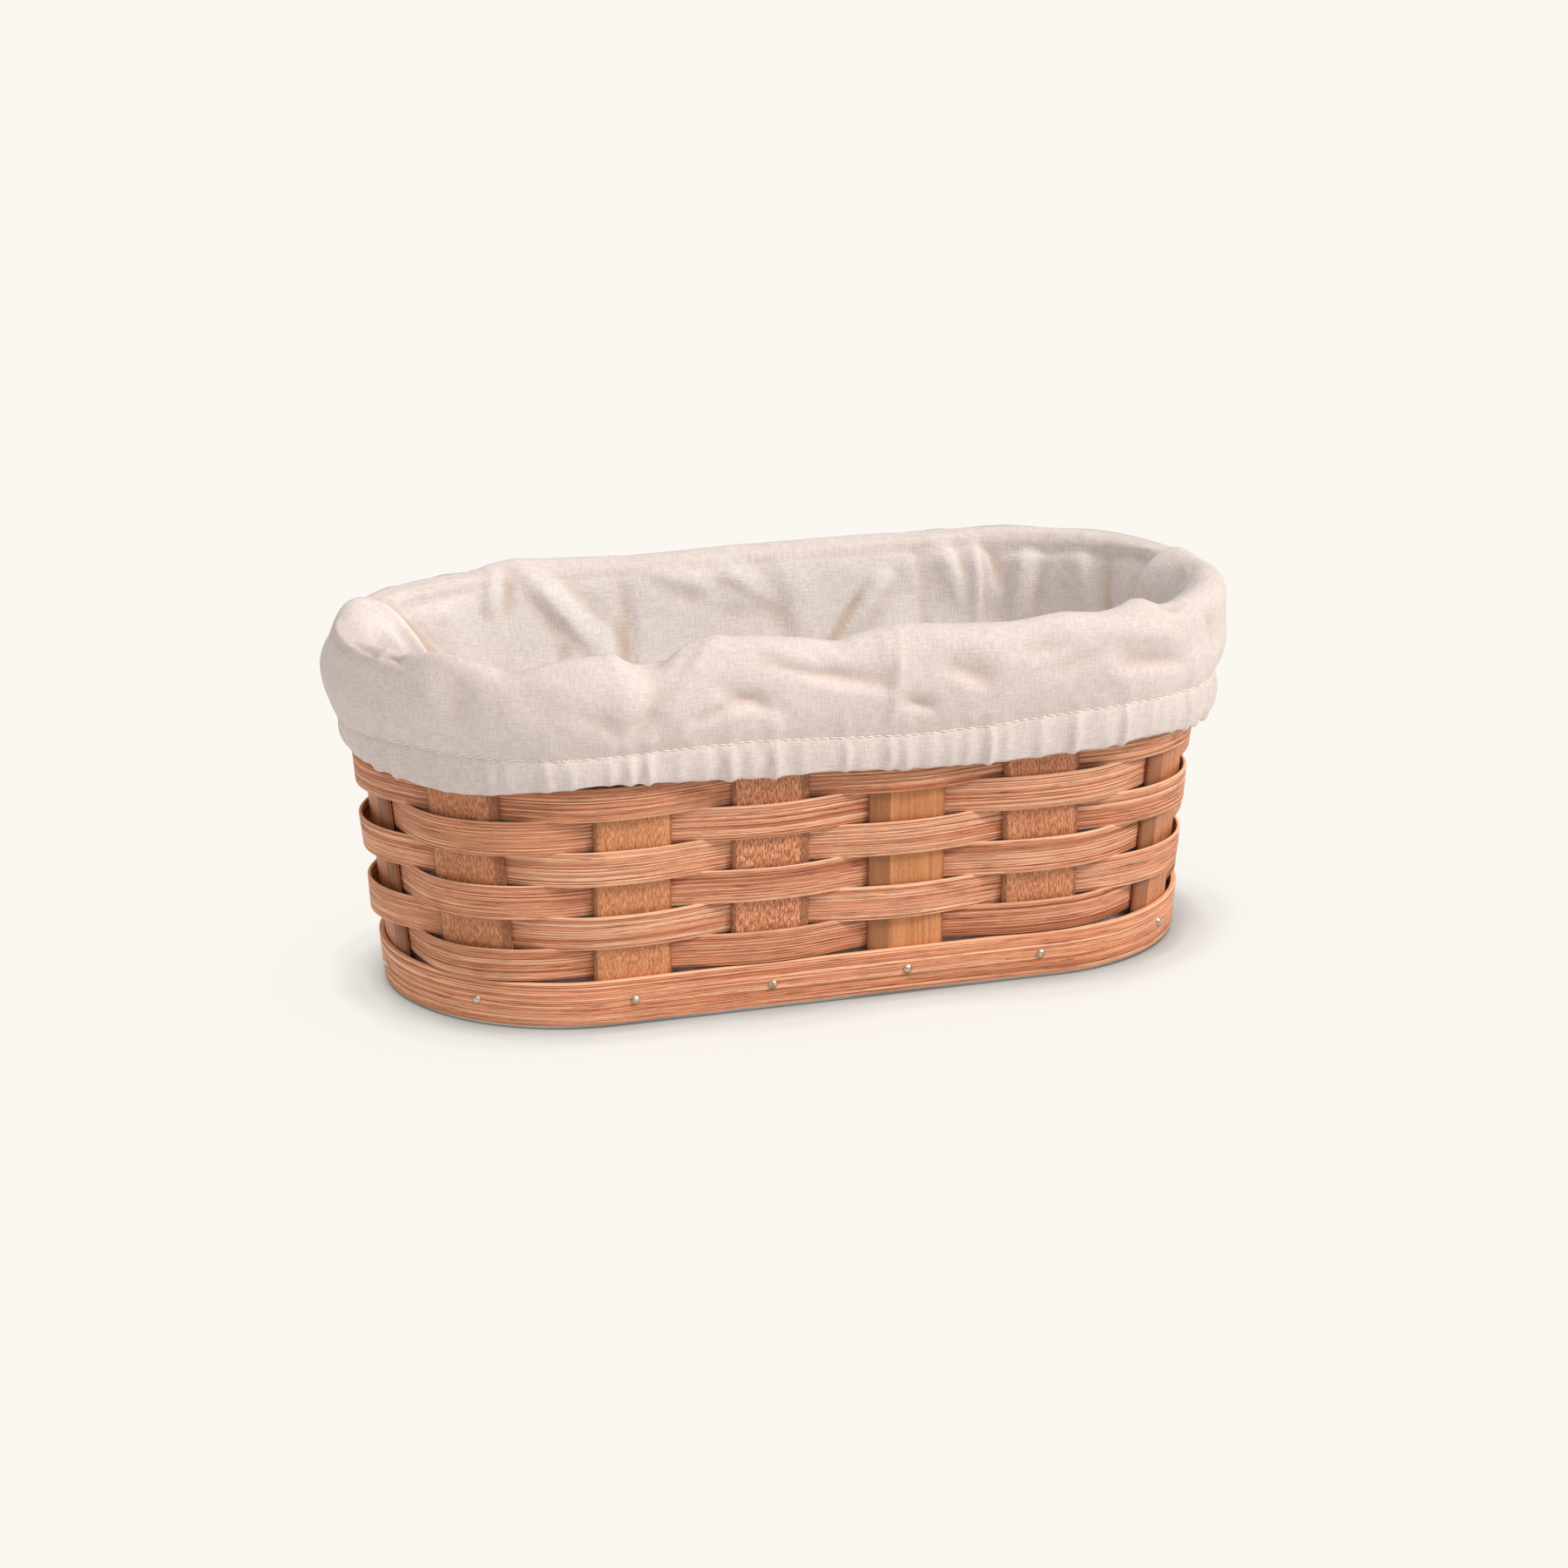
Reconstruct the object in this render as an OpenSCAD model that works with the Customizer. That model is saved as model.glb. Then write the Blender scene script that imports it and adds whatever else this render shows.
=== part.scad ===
// Long oval splint basket with a lift-out cloth liner.
// Origin: centre of the underside. +X runs along the basket, +Z is up. Millimetres.

/* [Plan] */
// Distance from the middle to each end arc's centre, at the underside
half_straight = 74; // [60:1:110]
// Radius of each end arc, to the middle of the staves, at the underside
end_radius = 56; // [50:1:70]

/* [Wall] */
// How far the long sides lean out for each millimetre of height
side_flare = 0.033; // [0:0.001:0.06]
// How far the two ends lean out for each millimetre of height
end_flare = 0.099; // [0.06:0.001:0.14]
// Weaver rows between the base band and the rim
row_count = 8; // [6:1:8]
// Height from one weaver row to the next
row_pitch = 10.7; // [9:0.1:12]
// Thickness of a weaver
weaver_t = 1.5; // [1:0.1:1.8]

/* [Staves] */
// Width of a stave
stave_w = 25.4; // [20:0.1:28]
// Thickness of a stave
stave_t = 2; // [1.4:0.1:2.4]
// Spacing of the four staves on each long side
stave_pitch = 45.5; // [42:0.1:47]
// Turn of the corner staves away from the long side, in degrees
corner_turn = 44; // [40:1:48]

/* [Base and rim] */
// Thickness of the base board
board_t = 10; // [6:1:14]
// Height of the base band
base_band_h = 14.5; // [12:0.5:16]
// Height of the two rim bands
rim_band_h = 15; // [10:0.5:18]
// Thickness of the base and rim bands
band_t = 2; // [1.4:0.1:2.4]
// Diameter of a tack's domed head
tack_head_d = 3.2; // [2.4:0.1:4]
// Length of a tack's shank in the base
base_shank_l = 11; // [8:1:14]

/* [Liner] */
// Thickness of the liner cloth
cloth_t = 1; // [0.6:0.1:1.2]
// Space between the liner and the basket
liner_gap = 0.45; // [0.4:0.05:1]
// How far the cuff hangs below the fold, down to the hem's lower edge
cuff_drop = 41; // [34:1:44]
// Height of the hem that holds the elastic
hem_h = 11; // [9:0.5:12]
// Thickness of the elastic
elastic_t = 0.8; // [0.5:0.1:1]

/* [Hidden] */

stave_count = 14;
side_staves = 7;            // staves from the front centre round to the back centre
seat = 0.15;                // space left where two strips lie on each other
edge_clear = 1;             // how far a weaver lies flat past a stave's edge
row_gap = 0.3;              // space between two rows
board_gap = 0.4;            // space between the board and the liner's floor
rim_clear = 2.4;            // space between the rim and the fold over it
elastic_clear = 0.3;        // space for the elastic to slide in its casing
dome_ratio = 0.34;          // height of a tack's dome for its diameter
hem_ply_ratio = 0.8;        // thickness of one ply of the hem for the cloth's
foot_z = 1;                 // lower edge of the staves and the base band
rows_z = foot_z + base_band_h + row_gap;
rim_z = rows_z + row_count * row_pitch;
rim_top = rim_z + rim_band_h;
band_off = stave_t / 2 + seat;               // inner face of a band outside the staves
band_out = band_off + band_t;                // its outer face
weave_off = stave_t / 2 + seat + weaver_t / 2;
flat_run = stave_w / 2 + edge_clear;         // half the stretch where a weaver lies flat
tack_head_h = tack_head_d * dome_ratio;
tack_shank_d = 1.2;

liner_out = -(band_out + liner_gap);         // outer face of the liner's wall
liner_in = liner_out - cloth_t;
floor_z = board_t + board_gap;
fold_z = rim_top + rim_clear;                      // underside of the fold over the rim
fold_top = fold_z + cloth_t;
cuff_in = band_out + tack_head_h + liner_gap;
hem_z = fold_top - cuff_drop;
casing_gap = elastic_t + elastic_clear;                // room for the elastic between the hem's plies
hem_ply = cloth_t * hem_ply_ratio;

weave_steps = 14;           // stations from one stave to the next
ring_steps = 112;           // stations round a plain ring
stave_steps = 8;            // stations across a stave
stave_rings = 5;            // stations up a stave
dome_steps = 4;             // bands in a tack's dome

// Plan of the wall at height z: a straight run and an end arc.
function half_run(z) = half_straight + (end_flare - side_flare) * z;
function arc_r(z) = end_radius + side_flare * z;
function quarter(z) = half_run(z) + arc_r(z) * PI / 2;

// Point on the plan of height z, s millimetres round from the front centre, off outwards.
function quarter_point(s, z, off) = s <= half_run(z)
    ? [s, -arc_r(z) - off]
    : let (turn = (s - half_run(z)) / arc_r(z) * 180 / PI)
        [half_run(z) + (arc_r(z) + off) * sin(turn), -(arc_r(z) + off) * cos(turn)];
function plan_point(s, z, off) =
    let (q = quarter(z), around = (s % (4 * q) + 4 * q) % (4 * q))
    around <= q ? quarter_point(around, z, off)
    : around <= 2 * q ? let (p = quarter_point(2 * q - around, z, off)) [p.x, -p.y]
    : around <= 3 * q ? let (p = quarter_point(around - 2 * q, z, off)) [-p.x, -p.y]
    : let (p = quarter_point(4 * q - around, z, off)) [-p.x, p.y];
function wall_point(s, z, off) = let (p = plan_point(s, z, off)) [p.x, p.y, z];

// Centre of stave k, as a distance round the plan of height z.
function quarter_stave(k, z) = k < 2 ? (k + 0.5) * stave_pitch
    : k == 2 ? half_run(z) + arc_r(z) * PI * corner_turn / 180
    : quarter(z);
function stave_at(k, z) = k >= side_staves ? 2 * quarter(z) + stave_at(k - side_staves, z)
    : k > 3 ? 2 * quarter(z) - quarter_stave(6 - k, z)
    : quarter_stave(k, z);

// Outward direction of stave k in degrees, and how far it leans.
function stave_turn(k) = k >= side_staves ? 180 + stave_turn(k - side_staves)
    : k > 3 ? -stave_turn(6 - k)
    : k < 2 ? -90
    : k == 2 ? corner_turn - 90
    : 0;
function stave_lean(k) = atan(side_flare + (end_flare - side_flare) * abs(cos(stave_turn(k))));

// Skin over a row of sections. loop joins the last section to the first; otherwise the two ends
// are closed by strips from the first half of the section's points to the second half.
module skin(sections, loop) {
    m = len(sections[0]);
    n = len(sections);
    end = (n - 1) * m;
    last = loop ? n - 1 : n - 2;
    sides = [for (i = [0 : last], j = [0 : m - 1])
        let (a = i * m + j, b = i * m + (j + 1) % m,
            c = ((i + 1) % n) * m + (j + 1) % m, d = ((i + 1) % n) * m + j)
        each [[a, d, c], [a, c, b]]];
    caps = loop ? [] : [for (j = [0 : m / 2 - 2]) let (a = m - 1 - j, b = m - 2 - j)
        each [[j, j + 1, b], [j, b, a], [end + j, end + b, end + j + 1], [end + j, end + a, end + b]]];
    polyhedron(points = [for (s = sections) each s], faces = concat(sides, caps));
}

// Flat band round the wall, between two heights and two offsets.
module wall_band(z0, z1, off_in, off_out) {
    skin([for (i = [0 : ring_steps - 1]) let (f = i / ring_steps)
        [wall_point(f * 4 * quarter(z0), z0, off_in),
         wall_point(f * 4 * quarter(z1), z1, off_in),
         wall_point(f * 4 * quarter(z1), z1, off_out),
         wall_point(f * 4 * quarter(z0), z0, off_out)]], true);
}

// Ring that hangs plumb from the fold. profile is a list of [offset, height].
module plumb_ring(profile) {
    skin([for (i = [0 : ring_steps - 1])
        [for (p = profile)
            let (q = plan_point(i / ring_steps * 4 * quarter(fold_z), fold_z, p[0])) [q.x, q.y, p[1]]]],
        true);
}

// Offset of a weaver at distance d from a stave's centre, with half the gap to the next stave.
function sway(d, half_pitch) = d <= flat_run ? 1
    : cos(90 * (d - flat_run) / (half_pitch - flat_run));
function weaver_station(row, k, f, z, side) =
    let (s0 = stave_at(k, z), pitch = stave_at(k + 1, z) - s0,
        near = f < 0.5 ? k : k + 1,
        d = pitch * min(f, 1 - f),
        lap = ((row + near) % 2 == 0 ? 1 : -1) * weave_off * sway(d, pitch / 2))
    wall_point(s0 + f * pitch, z, lap + side * weaver_t / 2);

module weaver(row) {
    z0 = rows_z + (row - 1) * row_pitch;
    z1 = z0 + row_pitch - row_gap;
    color(row % 2 == 0 ? "peru" : "sienna")
        skin([for (k = [0 : stave_count - 1], i = [0 : weave_steps - 1])
            let (f = i / weave_steps)
            [weaver_station(row, k, f, z0, -1), weaver_station(row, k, f, z1, -1),
             weaver_station(row, k, f, z1, 1), weaver_station(row, k, f, z0, 1)]], true);
}

module stave(k) {
    profile = concat(
        [for (i = [0 : stave_steps]) [(i / stave_steps - 0.5) * stave_w, stave_t / 2]],
        [for (i = [stave_steps : -1 : 0]) [(i / stave_steps - 0.5) * stave_w, -stave_t / 2]]);
    color("burlywood")
        skin([for (i = [0 : stave_rings - 1])
            let (z = foot_z + i / (stave_rings - 1) * (rim_top - foot_z))
            [for (p = profile) wall_point(stave_at(k, z) + p[0], z, p[1])]], false);
}

// One domed tack along +X, with its head's flat face at the origin.
module tack(shank_l) {
    dome_r = (pow(tack_head_d / 2, 2) + pow(tack_head_h, 2)) / (2 * tack_head_h);
    dome_turn = asin(tack_head_d / 2 / dome_r);
    dome = [for (i = [0 : dome_steps]) let (turn = dome_turn * (1 - i / dome_steps))
        [dome_r * sin(turn), tack_head_h - dome_r + dome_r * cos(turn)]];
    rotate([0, 90, 0]) rotate_extrude($fn = 32)
        polygon(concat([[0, -shank_l], [tack_shank_d / 2, -shank_l], [tack_shank_d / 2, 0]], dome));
}

// One tack at the middle of every stave, at height z.
module tack_row(z, shank_l) {
    color("darkgoldenrod")
        for (k = [0 : stave_count - 1])
            translate(wall_point(stave_at(k, z), z, band_out))
                rotate([0, 0, stave_turn(k)]) rotate([0, stave_lean(k), 0]) tack(shank_l);
}

// Oval plate with upright edges. off is measured from the wall at height z.
module oval_plate(z, thickness, off) {
    r = arc_r(z) + off;
    translate([0, 0, z]) linear_extrude(height = thickness) {
        square([2 * half_run(z), 2 * r], center = true);
        for (side = [-1, 1])
            translate([side * half_run(z), 0]) circle(r = r, $fn = 128);
    }
}

module base_board() { color("tan") oval_plate(0, board_t, -band_off); }
module base_band() {
    color("sienna") wall_band(foot_z, foot_z + base_band_h, band_off, band_out);
}
module base_tacks() { tack_row(foot_z + base_band_h / 2, base_shank_l); }
module rim_band_outer() { color("peru") wall_band(rim_z, rim_top, band_off, band_out); }
module rim_band_inner() { color("peru") wall_band(rim_z, rim_top, -band_out, -band_off); }
module rim_tacks() { tack_row(rim_z + rim_band_h / 2, 2 * band_t + stave_t); }

module liner_floor() { color("antiquewhite") oval_plate(floor_z, cloth_t, liner_out); }
module liner_wall() {
    color("antiquewhite") wall_band(floor_z + cloth_t + seat, fold_z - seat, liner_in, liner_out);
}
module liner_cuff() {
    color("linen") plumb_ring([[cuff_in, hem_z + hem_h + seat], [cuff_in, fold_z],
        [liner_in, fold_z], [liner_in, fold_top],
        [cuff_in + cloth_t, fold_top], [cuff_in + cloth_t, hem_z + hem_h + seat]]);
}
module liner_hem() {
    inner = cuff_in + hem_ply;
    outer = inner + casing_gap;
    color("linen") plumb_ring([[cuff_in, hem_z], [cuff_in, hem_z + hem_h], [inner, hem_z + hem_h],
        [inner, hem_z + hem_ply], [outer, hem_z + hem_ply], [outer, hem_z + hem_h],
        [outer + hem_ply, hem_z + hem_h], [outer + hem_ply, hem_z]]);
}
module hem_elastic() {
    inner = cuff_in + hem_ply + seat;
    color("white") plumb_ring([[inner, hem_z + hem_ply + seat], [inner, hem_z + hem_h - seat],
        [inner + elastic_t, hem_z + hem_h - seat], [inner + elastic_t, hem_z + hem_ply + seat]]);
}

base_board();
base_band();
base_tacks();
stave(0);  // stave_01
stave(1);  // stave_02
stave(2);  // stave_03
stave(3);  // stave_04
stave(4);  // stave_05
stave(5);  // stave_06
stave(6);  // stave_07
stave(7);  // stave_08
stave(8);  // stave_09
stave(9);  // stave_10
stave(10);  // stave_11
stave(11);  // stave_12
stave(12);  // stave_13
stave(13);  // stave_14
weaver(1);  // weaver_1
weaver(2);  // weaver_2
weaver(3);  // weaver_3
weaver(4);  // weaver_4
weaver(5);  // weaver_5
weaver(6);  // weaver_6
weaver(7);  // weaver_7
weaver(8);  // weaver_8
rim_band_outer();
rim_band_inner();
rim_tacks();
liner_floor();
liner_wall();
liner_cuff();
liner_hem();
hem_elastic();
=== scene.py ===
"""Long oval basket of stained wood splints, with a lift-out unbleached cotton liner.

The wall is an oval plan that leans out with height. Every strip of wood and every stretch of
cloth is a grid of points on that wall: a distance round the plan, a height, and an offset from
the middle of the staves. Metres, +X along the basket, +Z up.
"""
import math

import bpy
import numpy as np
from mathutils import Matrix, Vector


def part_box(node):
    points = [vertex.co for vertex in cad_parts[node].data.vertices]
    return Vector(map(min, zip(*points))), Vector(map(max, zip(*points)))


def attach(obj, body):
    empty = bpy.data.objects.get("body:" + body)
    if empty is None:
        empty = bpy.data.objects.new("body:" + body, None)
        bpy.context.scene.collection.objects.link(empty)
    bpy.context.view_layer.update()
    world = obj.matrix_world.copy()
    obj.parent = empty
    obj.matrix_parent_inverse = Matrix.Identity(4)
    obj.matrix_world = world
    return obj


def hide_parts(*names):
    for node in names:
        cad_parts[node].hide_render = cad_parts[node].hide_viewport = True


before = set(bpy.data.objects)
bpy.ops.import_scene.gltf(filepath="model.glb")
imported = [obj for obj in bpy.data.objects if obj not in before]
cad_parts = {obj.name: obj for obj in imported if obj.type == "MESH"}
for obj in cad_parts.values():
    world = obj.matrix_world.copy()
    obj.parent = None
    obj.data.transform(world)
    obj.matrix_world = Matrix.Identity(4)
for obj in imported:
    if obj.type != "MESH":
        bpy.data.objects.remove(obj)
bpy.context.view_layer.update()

MM = 0.001

# ---------------------------------------------------------------- the wall, from the frame

STAVE_T = 2.0 * MM
BAND_T = 2.0 * MM
SEAT = 0.15 * MM  # left between two strips that lie on each other
FACE = STAVE_T / 2 + SEAT  # from the staves' middle to a strip that lies on them
CORNER_TURN = math.radians(44)  # turn of the corner staves away from the long side

board_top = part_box("base_board")[1]
rim_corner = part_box("rim_band_outer")[1]
RUN_0 = board_top[0] - board_top[1]
ARC_0 = board_top[1] + FACE
RIM_TOP = rim_corner[2]
RUN_LEAN = (rim_corner[0] - rim_corner[1] - RUN_0) / RIM_TOP
ARC_LEAN = (rim_corner[1] - FACE - BAND_T - ARC_0) / RIM_TOP
STAVES = 14
SIDE_PITCH = sum(corner[0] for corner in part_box("stave_01"))  # twice the first stave's centre


def quarter(z):
    """Quarter of the way round the plan of height z: a straight run and a quarter circle."""
    return RUN_0 + RUN_LEAN * z + (ARC_0 + ARC_LEAN * z) * np.pi / 2


def wall_point(s, z, off):
    """Point s metres round the plan of height z, from the front centre, and off metres outside.

    One quarter is worked out, straight run then arc, and mirrored into the other three.
    """
    s, z, off = np.broadcast_arrays(s, z, off)
    run, arc, q = RUN_0 + RUN_LEAN * z, ARC_0 + ARC_LEAN * z, quarter(z)
    s = np.mod(s, 4 * q)
    turn_no = np.minimum(s // q, 3)
    local = np.choose(turn_no.astype(int), [s, 2 * q - s, s - 2 * q, 4 * q - s])
    angle = np.maximum(local - run, 0) / arc
    x = np.minimum(local, run) + (arc + off) * np.sin(angle)
    y = -(arc + off) * np.cos(angle)
    x = np.where(turn_no >= 2, -x, x)
    y = np.where((turn_no == 1) | (turn_no == 2), -y, y)
    return np.stack([x, y, z], axis=-1)


def stave_marks(z):
    """Distances round the plan of height z to the centres of the staves, and the first again."""
    run, arc, q = RUN_0 + RUN_LEAN * z, ARC_0 + ARC_LEAN * z, quarter(z)
    first = np.array([SIDE_PITCH / 2, SIDE_PITCH * 1.5, run + arc * CORNER_TURN])
    half = np.concatenate([first, [q], 2 * q - first[::-1]])
    return np.concatenate([half, 2 * q + half, [4 * q + first[0]]])


MARKS_0 = stave_marks(0.0)
MARKS_LEAN = stave_marks(1.0) - MARKS_0


def by_stave(w, z):
    """Distance round the plan of height z to position w, counted in staves from the first."""
    lap, w = np.divmod(w, STAVES)
    k = np.arange(STAVES + 1)
    return np.interp(w, k, MARKS_0) + z * np.interp(w, k, MARKS_LEAN) + lap * 4 * quarter(z)


# ---------------------------------------------------------------- meshes from grids


def grid_object(name, points, uv, loop_u=False, loop_v=False, caps=False, fields=None):
    """Object whose mesh is a grid of quads through points[i, j], turned to face outwards.

    loop_u and loop_v join the last row or column to the first, and uv then has one more of
    them. caps closes the two ends of a tube with one face each. fields are named values at the
    points. A closed mesh whose signed volume is negative has its faces turned over.
    """
    n, m = points.shape[:2]
    flat = points.reshape(-1, 3)
    i = np.arange(n if loop_u else n - 1)[:, None]
    j = np.arange(m if loop_v else m - 1)[None, :]
    corners = [(i, j), (i + 1, j), (i + 1, j + 1), (i, j + 1)]
    quads = np.stack([(a % n) * m + b % m for a, b in corners], axis=-1).reshape(-1, 4)
    quad_uv = np.stack([uv[a, b] for a, b in corners], axis=-2).reshape(-1, 4, 2)
    p = flat[quads]
    volume = np.einsum("ij,ij->i", p[:, 0], np.cross(p[:, 1], p[:, 2])).sum()
    volume += np.einsum("ij,ij->i", p[:, 0], np.cross(p[:, 2], p[:, 3])).sum()
    if volume < 0:
        quads, quad_uv = quads[:, ::-1], quad_uv[:, ::-1]
    verts, starts, uvs = [quads.ravel()], [np.arange(0, quads.size, 4)], [quad_uv.reshape(-1, 2)]
    if caps:
        ring = np.arange(m)
        for row, order in ((0, 1 if volume < 0 else -1), (n - 1, -1 if volume < 0 else 1)):
            starts.append([quads.size + (m if row else 0)])
            verts.append(row * m + ring[::-order])
            uvs.append(uv[row, ring[::-order]])
    verts, starts, uvs = np.concatenate(verts), np.concatenate(starts), np.concatenate(uvs)
    mesh = bpy.data.meshes.new(name)
    mesh.vertices.add(len(flat))
    mesh.vertices.foreach_set("co", flat.astype(np.float32).ravel())
    mesh.loops.add(len(verts))
    mesh.loops.foreach_set("vertex_index", verts.astype(np.int32))
    mesh.polygons.add(len(starts))
    mesh.polygons.foreach_set("loop_start", starts.astype(np.int32))
    mesh.update(calc_edges=True)
    mesh.validate()
    mesh.uv_layers.new(name="UVMap").data.foreach_set("uv", uvs.astype(np.float32).ravel())
    mesh.polygons.foreach_set("use_smooth", np.ones(len(starts), dtype=bool))
    for key, values in (fields or {}).items():
        spread = np.broadcast_to(values, (n, m)).astype(np.float32)
        mesh.attributes.new(key, "FLOAT", "POINT").data.foreach_set("value", spread.ravel())
    obj = bpy.data.objects.new(name, mesh)
    bpy.context.scene.collection.objects.link(obj)
    return obj


def wave_noise(x, seed, lowest=1, count=6):
    """Smooth wandering value near -1 to 1 along x, which is 0 to 1 round a loop: sines."""
    rng = np.random.default_rng(seed)
    total = np.zeros_like(x, dtype=float)
    for k in range(count):
        turns = lowest + k * max(1, lowest // 2)
        total += rng.normal() * np.sin(2 * np.pi * (turns * x + rng.random())) / (1 + k) ** 0.6
    return total / 1.6


# ---------------------------------------------------------------- strips of wood


def rounded_strip(width, thickness, radius):
    """Outline of a strip's section: (across, through) arrays, flat faces and rounded edges.

    Each corner is a quarter circle in three points, with a support point just inside it, so
    that the light stays even over the flat face. width and thickness may be arrays.
    """
    turn = np.radians([0, 45, 90])
    across, through = [], []
    for side_a, side_t, order in ((1, 1, 1), (-1, 1, -1), (-1, -1, 1), (1, -1, -1)):
        for angle in turn[::order]:
            across.append(side_a * (width / 2 - radius + radius * np.cos(angle)))
            through.append(side_t * (thickness / 2 - radius + radius * np.sin(angle)))
        if order == 1:
            for inside in (width / 2 - 3 * radius, 0 * width, 3 * radius - width / 2):
                across.append(side_a * inside)
                through.append(side_t * thickness / 2 + 0 * width)
    return np.stack(across, axis=-1), np.stack(through, axis=-1)


def outline_lengths(across, through):
    """Distance round a section from its first point to each point, and back to the first."""
    a = np.append(across, across[0])
    b = np.append(through, through[0])
    return np.concatenate([[0], np.cumsum(np.hypot(np.diff(a), np.diff(b)))])


def round_strip(name, w, z_mid, off_mid, width, thickness, seed, lean=0.0, ends=False):
    """Strip that runs round the wall, by stations w in staves. ends leaves it open, to lap.

    Each station's section stands across the run: its across is the height and its through the
    offset. lean tips the section by a slope. The grain runs along u.
    """
    full = np.ones_like(w)
    across, through = rounded_strip(width * full, thickness * full, 0.34 * MM)
    z = (z_mid * full)[:, None] + across
    off = (off_mid * full)[:, None] + through + lean * across
    points = wall_point(by_stave(w[:, None], z), z, off)
    rng = np.random.default_rng(seed)
    grain = w * 4 * quarter(z_mid if np.isscalar(z_mid) else z_mid.mean()) / STAVES
    if not ends:
        grain = np.append(grain, 2 * grain[-1] - grain[-2])
    round_it = outline_lengths(across[0], through[0])
    uv = np.stack(np.broadcast_arrays((grain + rng.random() * 9)[:, None],
                                      (round_it + rng.random() * 5)[None, :]), axis=-1)
    edge = np.abs(across) / (width * full[:, None] / 2 if np.isscalar(width) else width[:, None] / 2)
    fields = {"edge": edge, "tone": np.full_like(edge, rng.random())}
    return grid_object(name, points, uv, loop_u=not ends, loop_v=True, caps=ends, fields=fields)


WEAVER_T = 1.1 * MM
WEAVE_SWING = 2.8 * MM  # how far a weaver's middle swings out over a stave and in behind it
END_BULGE = 1.9 * MM  # and how much further out it stands round the tight ends
ROW_STATIONS = 30  # from one stave to the next


def make_weaver(row):
    """A weaver row: a cosine wave of one half turn per stave, out over every other stave.

    The strip is a little wider where it lies over or behind a stave than where it crosses
    between them. Its two ends lap behind a stave at the back, and its middle wanders slightly.
    """
    low, high = (corner[2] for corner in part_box(f"weaver_{row}"))
    start = 5 + (row * 3) % 5 + row % 2
    w = start + np.linspace(-0.28, STAVES + 0.28, ROW_STATIONS * STAVES + 18)
    loop = w / STAVES
    wave = np.cos(np.pi * (w + row))
    swing = WEAVE_SWING * (1 + 0.07 * wave_noise(loop, row, 3))
    lap = np.clip((w - start - STAVES) / 0.28, 0, 1)
    thin = 1 - 0.5 * np.clip(1 - (w - w[0]) / 0.56, 0, 1) - 0.5 * np.clip(1 - (w[-1] - w) / 0.56, 0, 1)
    from_end = (w % STAVES - np.array([[3], [10]])) / 0.9
    off = swing * wave - lap * WEAVER_T * 0.9
    off += END_BULGE * np.exp(-(from_end**2)).sum(axis=0) * np.clip(wave, 0, 1)
    rise = 0.3 * MM if row == 1 else 0.0
    z_mid = (low + high) / 2 + rise + 0.16 * MM * wave_noise(loop, 40 + row, 2)
    width = (11.2 - 0.1 * wave**2) * MM - 2 * rise
    lean = 0.035 * wave_noise(loop, 80 + row, 4)[:, None]
    obj = round_strip(f"splint_weaver_{row}", w, z_mid, off, width, WEAVER_T * thin, row, lean, True)
    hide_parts(f"weaver_{row}")
    return obj


CHAMFER = 2.6 * MM  # width of the eased edges of a stave
CHAMFER_DROP = 0.6 * MM
# For each stave: how golden it is, how flecked, and how wide the darker strips are at its
# left and right edges, as shares of half its width.
STAVE_WOOD = [
    (0.95, 0.15, 0.52, 0.04), (0.35, 0.75, 0.08, 0.08), (0.25, 0.25, 0.5, 0.05), (0.5, 0.4, 0.2, 0.2),
    (0.7, 0.6, 0.1, 0.3), (0.2, 0.3, 0.3, 0.1), (0.9, 0.7, 0.1, 0.2), (0.3, 0.9, 0.3, 0.1),
    (0.6, 0.2, 0.1, 0.4), (0.1, 0.5, 0.3, 0.1), (0.2, 0.3, 0.1, 0.5), (0.3, 0.65, 0.05, 0.2),
    (1.0, 0.6, 0.06, 0.04), (0.4, 1.0, 0.06, 0.22)]


def make_stave(k):
    """An upright stave: a flat section with eased edges, carried up the leaning wall."""
    name = f"stave_{k + 1:02d}"
    low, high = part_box(name)
    half = 12.7 * MM
    top = STAVE_T / 2
    a = np.array([-half, -half, -half + 0.25 * MM, -half + CHAMFER - 0.2 * MM,
                  -half + CHAMFER + 0.3 * MM, -half * 0.5, 0, half * 0.5,
                  half - CHAMFER - 0.3 * MM, half - CHAMFER + 0.2 * MM, half - 0.25 * MM, half, half,
                  half - 0.3 * MM, 0, -half + 0.3 * MM])
    b = np.array([-top + 0.3 * MM, top - CHAMFER_DROP - 0.2 * MM, top - CHAMFER_DROP, top - 0.08 * MM,
                  top, top, top, top, top, top - 0.08 * MM, top - CHAMFER_DROP,
                  top - CHAMFER_DROP - 0.2 * MM, -top + 0.3 * MM, -top, -top, -top])
    z = np.linspace(low[2], high[2], 60)
    centre = by_stave(np.full_like(z, k), z)
    points = wall_point(centre[:, None] + a[None, :], z[:, None], b[None, :])
    rng = np.random.default_rng(200 + k)
    round_it = outline_lengths(a, b) + rng.random()
    uv = np.stack(np.broadcast_arrays((z + rng.random())[:, None], round_it[None, :]), axis=-1)
    golden, fleck, dark_left, dark_right = STAVE_WOOD[k]
    side = a / half
    outer = b > -0.5 * top
    fields = {"golden": golden, "fleck": fleck, "across": np.where(outer, side, 0)[None, :],
              "dark_left": dark_left, "dark_right": dark_right}
    obj = grid_object(f"splint_{name}", points, uv, loop_v=True, caps=True, fields=fields)
    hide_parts(name)
    return obj


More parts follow.
